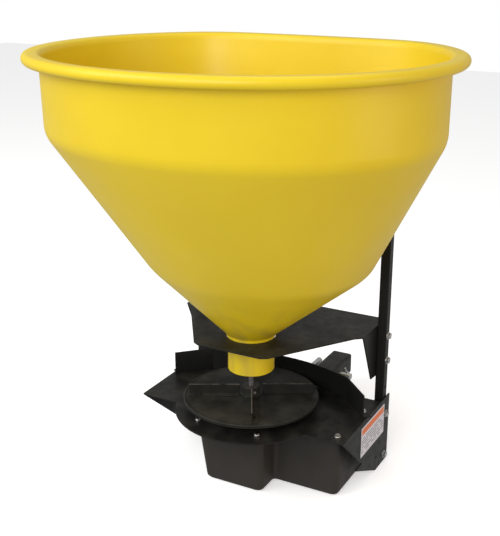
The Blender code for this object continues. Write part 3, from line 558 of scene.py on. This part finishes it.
bronze, tree, shader, coords = surface("gear_bronze", (0.55, 0.36, 0.14), 0.34, 1.0)
oil = noise(tree, coords, 120.0, 3.0)
tree.links.new(blended(tree, oil, (0.42, 0.26, 0.09), (0.62, 0.42, 0.18)), shader.inputs["Base Color"])
tree.links.new(spread(tree, oil, 0.3, 0.7, 0.24, 0.42), shader.inputs["Roughness"])
relief(tree, shader, oil, 0.00005, 0.4)

seal_rubber, tree, shader, coords = surface("seal_rubber", (0.018, 0.018, 0.018), 0.7, specular=0.3)
bloom = noise(tree, coords, 300.0, 3.0)
rubber_colour = blended(tree, bloom, (0.014, 0.014, 0.014), (0.028, 0.028, 0.027))
tree.links.new(rubber_colour, shader.inputs["Base Color"])
relief(tree, shader, bloom, 0.0001, 0.4)

drive_finishes = {
    cast_metal: ("gearbox_case", "gearbox_lid"),
    bare_steel: (
        "motor_can",
        "motor_armature",
        "worm",
        "upper_bearing",
        "lower_bearing",
        "worm_bearing_inner",
        "worm_bearing_outer",
    ),
    bronze: ("worm_wheel",),
    seal_rubber: ("shaft_seal",),
    formed_plastic: ("motor_end_cap", "cable_gland"),
}
for finish, names in drive_finishes.items():
    for node in names:
        cad_nodes[node].data.materials.clear()
        cad_nodes[node].data.materials.append(finish)

# ------------------------------------------------------------------ spinner
# A pressed steel disc with a rolled rim, four folded fins screwed to it, and a flanged hub clamped
# to the shaft by one set screw. Salt keeps the black coat dull, and the fins' top edges are painted
# lighter: a painted highlight, with some wear.

disc_low, disc_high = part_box("spinner_disc")
SPINNER_TOP = disc_high.z
SPINNER_RADIUS = disc_high.x
SHAFT_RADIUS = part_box("spinner_shaft")[1].x
FIN_TURN = math.radians(28.3)
FIN_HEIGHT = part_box("spinner_fin_1")[1].z - SPINNER_TOP


def turned(name, profile, steps):
    """A ring turned about the Z axis from a closed outline of (radius, height) points."""
    mesh = bpy.data.meshes.new(name)
    links = [(i, (i + 1) % len(profile)) for i in range(len(profile))]
    mesh.from_pydata([(radius, 0, z) for radius, z in profile], links, [])
    draft = bpy.data.objects.new(name + "_draft", mesh)
    bpy.context.scene.collection.objects.link(draft)
    screw = draft.modifiers.new("Screw", "SCREW")
    screw.steps = steps
    screw.render_steps = steps
    screw.use_merge_vertices = True
    screw.merge_threshold = 0.00001
    piece = plain_mesh(draft, name)
    solid = bmesh.new()
    solid.from_mesh(piece.data)
    bmesh.ops.remove_doubles(solid, verts=solid.verts, dist=0.000001)
    bmesh.ops.recalc_face_normals(solid, faces=solid.faces)
    solid.to_mesh(piece.data)
    solid.free()
    piece.data.shade_smooth()
    piece.data.set_sharp_from_angle(angle=math.radians(35))
    return piece


dusty_coat, tree, shader, coords = surface("salt_dulled_coat", (0.016, 0.016, 0.014), 0.5, specular=0.2)
film = spread(tree, noise(tree, coords, 22.0, 6.0), 0.35, 0.7)
up = axis_value(tree, tree.nodes.new("ShaderNodeNewGeometry").outputs["Normal"], "Z")
film = product(tree, film, spread(tree, up, 0.2, 1.0, 0.25, 1.0))
coat_colour = blended(tree, film, (0.013, 0.013, 0.011), (0.040, 0.039, 0.031))
fin_top = SPINNER_TOP + FIN_HEIGHT
# The top edge of each fin is painted lighter in patches: a painted highlight, with some wear.
fin_top_highlight = spread(tree, axis_value(tree, coords, "Z"), fin_top - 0.0012, fin_top)
edge_highlight_and_wear = product(tree, fin_top_highlight, spread(tree, noise(tree, coords, 55.0, 4.0), 0.35, 0.6))
tree.links.new(blended(tree, edge_highlight_and_wear, coat_colour, (0.13, 0.12, 0.095)), shader.inputs["Base Color"])
tree.links.new(spread(tree, noise(tree, coords, 45.0), 0.3, 0.7, 0.42, 0.6), shader.inputs["Roughness"])
relief(tree, shader, noise(tree, coords, 700.0, 2.0), 0.0001, 0.5)

SHEET = 0.0022
ROLL = 0.0045
bore = SHAFT_RADIUS + 0.0003
disc_profile = [(bore, SPINNER_TOP), (SPINNER_RADIUS - 2 * ROLL, SPINNER_TOP)]
for k in range(9):
    turn = math.pi * 0.75 - math.pi * 0.95 * k / 8
    radius = SPINNER_RADIUS - ROLL / 2 + ROLL / 2 * math.cos(turn)
    disc_profile.append((radius, SPINNER_TOP - 0.0010 + ROLL / 2 * math.sin(turn)))
disc_profile += [
    (SPINNER_RADIUS - 0.0004, disc_low.z + 0.0005),
    (SPINNER_RADIUS - SHEET, disc_low.z + 0.0002),
    (SPINNER_RADIUS - SHEET - 0.001, SPINNER_TOP - SHEET),
    (bore, SPINNER_TOP - SHEET),
]
disc = turned("spinner_plate", disc_profile, 128)
disc.data.materials.append(dusty_coat)
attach(disc, "spinner")
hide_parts("spinner_disc")

hub_low, hub_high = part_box("spinner_hub")
hub_profile = [
    (bore, hub_high.z),
    (0.0160, hub_high.z),
    (0.0172, hub_high.z - 0.0004),
    (0.0180, hub_high.z - 0.0014),
    (0.0180, hub_low.z + 0.0062),
    (0.0186, hub_low.z + 0.0045),
    (0.0200, hub_low.z + 0.0036),
    (0.0222, hub_low.z + 0.0034),
    (0.0230, hub_low.z + 0.0026),
    (0.0230, hub_low.z),
    (bore, hub_low.z),
]
hub = turned("spinner_boss", hub_profile, 64)
hub.data.materials.append(dusty_coat)
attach(hub, "spinner")
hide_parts("spinner_hub")

for number in range(1, 5):
    node = f"spinner_fin_{number}"
    fin = coated_copy(node, node + "_folded", 0.0005)
    fin.data.materials.append(dusty_coat)
    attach(fin, "spinner")
    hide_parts(node)

for node in ("spinner_shaft", "agitator_bar"):
    cad_nodes[node].data.materials.clear()
    cad_nodes[node].data.materials.append(bare_steel)

# ------------------------------------------------------------------ fasteners
# Zinc-plated hexagon bolts with washers and nuts hold the sheets to the uprights. Small screws in
# the spinner's coat hold the fins. Each head and nut is one instance, set where its bolt has it.

STANDARD_CORNER = 0.0073

zinc, tree, shader, coords = surface("zinc_plate", (0.60, 0.60, 0.58), 0.3, 1.0)
patches = noise(tree, coords, 160.0, 4.0)
tree.links.new(blended(tree, patches, (0.46, 0.46, 0.44), (0.70, 0.70, 0.68)), shader.inputs["Base Color"])
tree.links.new(spread(tree, patches, 0.3, 0.7, 0.22, 0.42), shader.inputs["Roughness"])
relief(tree, shader, patches, 0.00004, 0.4)


def hexagon_fasteners(name):
    """Tree that sets a hexagon head or a nut on each point, standing along the point's axis."""
    group = bpy.data.node_groups.new(name, "GeometryNodeTree")
    group.interface.new_socket("Geometry", in_out="INPUT", socket_type="NodeSocketGeometry")
    sizes = {
        "Corner Radius": STANDARD_CORNER,
        "Head Height": 0.0050,
        "Washer Radius": 0.0084,
        "Washer Height": 0.0014,
        "Stud Radius": 0.0040,
        "Stud Length": 0.0042,
    }
    for label, number in sizes.items():
        socket = group.interface.new_socket(label, in_out="INPUT", socket_type="NodeSocketFloat")
        socket.default_value = number
    group.interface.new_socket("Material", in_out="INPUT", socket_type="NodeSocketMaterial")
    group.interface.new_socket("Geometry", in_out="OUTPUT", socket_type="NodeSocketGeometry")
    source = group.nodes.new("NodeGroupInput").outputs

    def math_node(operation, first, second):
        node = group.nodes.new("ShaderNodeMath")
        node.operation = operation
        for socket, value in zip(node.inputs, (first, second)):
            if isinstance(value, (int, float)):
                socket.default_value = value
            else:
                group.links.new(value, socket)
        return node.outputs[0]

    def cone(sides, foot, top, depth):
        node = group.nodes.new("GeometryNodeMeshCone")
        node.inputs["Vertices"].default_value = sides
        group.links.new(foot, node.inputs["Radius Bottom"])
        group.links.new(top, node.inputs["Radius Top"])
        group.links.new(depth, node.inputs["Depth"])
        return node.outputs["Mesh"]

    def lifted(mesh, height):
        place = group.nodes.new("ShaderNodeCombineXYZ")
        group.links.new(height, place.inputs["Z"])
        node = group.nodes.new("GeometryNodeTransform")
        group.links.new(mesh, node.inputs["Geometry"])
        group.links.new(place.outputs[0], node.inputs["Translation"])
        return node.outputs[0]

    def joined(*meshes):
        node = group.nodes.new("GeometryNodeJoinGeometry")
        for mesh in meshes:
            group.links.new(mesh, node.inputs[0])
        return node.outputs[0]

    prism = cone(6, source["Corner Radius"], source["Corner Radius"], source["Head Height"])
    chamfer_top = math_node("MULTIPLY", source["Corner Radius"], 0.84)
    chamfer_fall = math_node("MULTIPLY", source["Head Height"], 1.73)
    chamfer_foot = math_node("ADD", chamfer_top, chamfer_fall)
    chamfer = cone(32, chamfer_foot, chamfer_top, source["Head Height"])
    trimmed = group.nodes.new("GeometryNodeMeshBoolean")
    trimmed.operation = "INTERSECT"
    trimmed.solver = "EXACT"
    group.links.new(prism, trimmed.inputs["Mesh 2"])
    group.links.new(chamfer, trimmed.inputs["Mesh 2"])
    head = lifted(trimmed.outputs["Mesh"], source["Washer Height"])
    washer = cone(32, source["Washer Radius"], source["Washer Radius"], source["Washer Height"])
    head = joined(head, washer)
    reach = math_node("ADD", source["Washer Height"], source["Head Height"])
    stud = cone(16, source["Stud Radius"], source["Stud Radius"], source["Stud Length"])
    tip_top = math_node("MULTIPLY", source["Stud Radius"], 0.8)
    tip_depth = math_node("MULTIPLY", source["Stud Radius"], 0.25)
    tip = lifted(cone(16, source["Stud Radius"], tip_top, tip_depth), source["Stud Length"])
    nut = joined(head, lifted(joined(stud, tip), reach))

    def attribute(label, kind):
        node = group.nodes.new("GeometryNodeInputNamedAttribute")
        node.data_type = kind
        node.inputs["Name"].default_value = label
        return node.outputs["Attribute"]

    aligned = group.nodes.new("FunctionNodeAlignRotationToVector")
    aligned.axis = "Z"
    group.links.new(attribute("axis", "FLOAT_VECTOR"), aligned.inputs["Vector"])
    is_nut = attribute("is_nut", "BOOLEAN")
    is_head = group.nodes.new("FunctionNodeBooleanMath")
    is_head.operation = "NOT"
    group.links.new(is_nut, is_head.inputs[0])
    sets = []
    for shape, chosen in ((head, is_head.outputs[0]), (nut, is_nut)):
        points = group.nodes.new("GeometryNodeInstanceOnPoints")
        group.links.new(source["Geometry"], points.inputs["Points"])
        group.links.new(shape, points.inputs["Instance"])
        group.links.new(chosen, points.inputs["Selection"])
        group.links.new(aligned.outputs[0], points.inputs["Rotation"])
        group.links.new(attribute("size", "FLOAT"), points.inputs["Scale"])
        sets.append(points.outputs[0])
    realized = group.nodes.new("GeometryNodeRealizeInstances")
    group.links.new(joined(*sets), realized.inputs[0])
    painted = group.nodes.new("GeometryNodeSetMaterial")
    group.links.new(realized.outputs[0], painted.inputs["Geometry"])
    group.links.new(source["Material"], painted.inputs["Material"])
    group.links.new(painted.outputs[0], group.nodes.new("NodeGroupOutput").inputs[0])
    return group


def made_by_tree(name, points, group, attributes, inputs):
    """A plain mesh that a Geometry Nodes tree makes on points, given the points' attributes."""
    mesh = bpy.data.meshes.new(name + "_points")
    mesh.from_pydata([tuple(point) for point in points], [], [])
    for label, kind, values in attributes:
        layer = mesh.attributes.new(label, kind, "POINT")
        key = "vector" if kind == "FLOAT_VECTOR" else "value"
        layer.data.foreach_set(key, np.array(values).ravel())
    draft = bpy.data.objects.new(name + "_draft", mesh)
    bpy.context.scene.collection.objects.link(draft)
    modifier = draft.modifiers.new("Nodes", "NODES")
    modifier.node_group = group
    for item in group.interface.items_tree:
        if item.in_out == "INPUT" and item.name in inputs:
            modifier[item.identifier] = inputs[item.name]
    piece = plain_mesh(draft, name)
    for label, _, _ in attributes:
        if label in piece.data.attributes:
            piece.data.attributes.remove(piece.data.attributes[label])
    return piece


def bolt_seats(node):
    """Head seat, nut seat, direction out of the head and corner radius of a frame bolt."""
    points = np.array([vertex.co for vertex in cad_nodes[node].data.vertices])
    middle = points.mean(0)
    axis = np.linalg.svd(points - middle)[2][0]
    along = (points - middle) @ axis
    across = np.linalg.norm(points - middle - np.outer(along, axis), axis=1)
    if across[along > along.max() - 0.0001].max() < across[along < along.min() + 0.0001].max():
        axis = -axis
        along = -along
    corner = across.max()
    height = corner * 0.75
    tail = 0.004
    clear = 0.0003
    head_seat = middle + axis * (along.max() - height - clear)
    nut_seat = middle + axis * (along.min() + height + tail + clear)
    return head_seat, nut_seat, axis, corner


frame_bolts = sorted(name for name in cad_nodes if "_bolt_" in name)
places = []
axes = []
scales = []
kinds = []
for node in frame_bolts:
    head_seat, nut_seat, axis, corner = bolt_seats(node)
    places += [head_seat, nut_seat]
    axes += [axis, -axis]
    scales += [corner / STANDARD_CORNER] * 2
    kinds += [False, True]
fastener_tree = hexagon_fasteners("hexagon_fasteners")
attributes = [("axis", "FLOAT_VECTOR", axes), ("size", "FLOAT", scales), ("is_nut", "BOOLEAN", kinds)]
bolts = made_by_tree("frame_fasteners", places, fastener_tree, attributes, {"Material": zinc})
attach(bolts, "frame")
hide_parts(*frame_bolts)

screw_radius = 0.108
screw_side = 0.0075
screw_seat = Vector((0, 0, SPINNER_TOP + 0.0024))
screw_size = 0.42
places = []
for number in range(4):
    turn = FIN_TURN + number * math.pi / 2
    along = Vector((math.cos(turn), math.sin(turn), 0))
    side = Vector((-math.sin(turn), math.cos(turn), 0))
    places.append(along * screw_radius + side * screw_side + screw_seat)
count = len(places)
attributes = [
    ("axis", "FLOAT_VECTOR", [(0.0, 0.0, 1.0)] * count),
    ("size", "FLOAT", [screw_size] * count),
    ("is_nut", "BOOLEAN", [False] * count),
]
fin_screws = made_by_tree("fin_screws", places, fastener_tree, attributes, {"Material": dusty_coat})
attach(fin_screws, "spinner")

set_screw = cad_nodes["hub_set_screw"]
set_screw.data.materials.clear()
set_screw.data.materials.append(zinc)

# ------------------------------------------------------------------ hitch pin and its clip
# A bent zinc-plated bar locks the shank in the truck's receiver, and a spring-wire clip through
# its end keeps it there. Both are round stock with dressed ends.

PIN_Y = 0.420
SHANK_Z = 0.061
PIN_RADIUS = 0.0079
CLIP_WIRE = 0.0017
CLIP_X = 0.043
CLIP_TILT = math.radians(-37)


def round_bar(name, route, radius, bends):
    """A round bar along the route, with the bends between its straight runs rounded."""
    points = []
    for i, point in enumerate(route):
        point = Vector(point)
        if bends[i] == 0:
            points.append(point)
            continue
        before = (Vector(route[i - 1]) - point).normalized() * bends[i]
        after = (Vector(route[i + 1]) - point).normalized() * bends[i]
        for k in range(9):
            f = k / 8
            points.append(point + before * (1 - f) ** 2 + after * f**2)
    curve = bpy.data.curves.new(name, "CURVE")
    curve.dimensions = "3D"
    curve.bevel_depth = radius
    curve.bevel_resolution = 6
    curve.use_fill_caps = True
    spline = curve.splines.new("POLY")
    spline.points.add(len(points) - 1)
    for control, place in zip(spline.points, points):
        control.co = (*place, 1)
    draft = bpy.data.objects.new(name + "_draft", curve)
    bpy.context.scene.collection.objects.link(draft)
    bar = plain_mesh(draft, name)
    solid = bmesh.new()
    solid.from_mesh(bar.data)
    bmesh.ops.remove_doubles(solid, verts=solid.verts, dist=0.000001)
    rims = [edge for edge in solid.edges if any(len(face.verts) > 4 for face in edge.link_faces)]
    bmesh.ops.bevel(solid, geom=rims, offset=radius * 0.18, segments=2, affect="EDGES", profile=0.5)
    bmesh.ops.recalc_face_normals(solid, faces=solid.faces)
    solid.to_mesh(bar.data)
    solid.free()
    bar.data.shade_smooth()
    bar.data.set_sharp_from_angle(angle=math.radians(40))
    return bar


pin_route = [(0.056, PIN_Y, SHANK_Z), (-0.054, PIN_Y, SHANK_Z), (-0.054, PIN_Y + 0.055, SHANK_Z)]
pin = round_bar("hitch_pin_bar", pin_route, PIN_RADIUS, (0, 0.017, 0))
pin.data.materials.append(zinc)
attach(pin, "pin")
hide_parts("hitch_pin")

leg = Vector((0, math.cos(CLIP_TILT), math.sin(CLIP_TILT)))
rise = Vector((0, -math.sin(CLIP_TILT), math.cos(CLIP_TILT)))
clip_centre = Vector((CLIP_X, PIN_Y, SHANK_Z))
clip_over = PIN_RADIUS + CLIP_WIRE + 0.0009
clip_ring = 0.0075
flat_route = [(-0.016, 0.0), (-0.005, 0.0), (0.010, 0.0), (0.017, -0.0015)]
for k in range(25):
    turn = math.radians(-120 + 210 * k / 24)
    rise_here = clip_over - clip_ring + clip_ring * math.sin(turn)
    flat_route.append((0.024 + clip_ring * math.cos(turn), rise_here))
flat_route += [(0.012, clip_over), (0.0, clip_over), (-0.010, clip_over), (-0.020, clip_over + 0.004)]
clip_route = [clip_centre + leg * along + rise * across for along, across in flat_route]
clip = round_bar("pin_clip_wire", clip_route, CLIP_WIRE, [0] * len(clip_route))
clip.data.materials.append(zinc)
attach(clip, "clip")
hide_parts("pin_clip")

# ------------------------------------------------------------------ side label
# A printed film on the right side plate: a white ground, one orange band along its top and grey
# bars for its lines of print. It carries no lettering.

label = coated_copy("side_label", "side_label_film", 0.0001, 1)
label_low, label_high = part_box("side_label")
film, tree, shader, coords = surface("printed_film", (0.8, 0.8, 0.82), 0.35)


def inside(value, low, high):
    """1 where the value lies between low and high, and 0 elsewhere."""
    first = tree.nodes.new("ShaderNodeMath")
    first.operation = "GREATER_THAN"
    first.inputs[1].default_value = low
    tree.links.new(value, first.inputs[0])
    second = tree.nodes.new("ShaderNodeMath")
    second.operation = "LESS_THAN"
    second.inputs[1].default_value = high
    tree.links.new(value, second.inputs[0])
    return product(tree, first.outputs[0], second.outputs[0])


across = axis_value(tree, coords, "Y")
height = axis_value(tree, coords, "Z")
border = 0.0035
band_low = label_high.z - 0.0175
within = inside(across, label_low.y + border, label_high.y - border)
orange = product(tree, within, inside(height, band_low, label_high.z - border))
pitch = 0.0062
rows = tree.nodes.new("ShaderNodeMath")
rows.operation = "MODULO"
rows.inputs[1].default_value = pitch
tree.links.new(height, rows.inputs[0])
printed_rows = inside(rows.outputs[0], 0.0, pitch * 0.45)
bars = product(tree, printed_rows, inside(height, label_low.z + 0.005, band_low - 0.003))
print_patches = noise(tree, coords, 70.0, 0.0, (1, 1.0, 3))
bars = product(tree, bars, product(tree, within, inside(print_patches, 0.42, 1.0)))
ground = blended(tree, noise(tree, coords, 30.0), (0.66, 0.63, 0.68), (0.76, 0.74, 0.78))
printed = blended(tree, bars, ground, (0.22, 0.21, 0.26))
tree.links.new(blended(tree, orange, printed, (0.78, 0.17, 0.03)), shader.inputs["Base Color"])
tree.links.new(spread(tree, noise(tree, coords, 80.0), 0.3, 0.7, 0.3, 0.42), shader.inputs["Roughness"])
label.data.materials.append(film)
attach(label, "frame")
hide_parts("side_label")
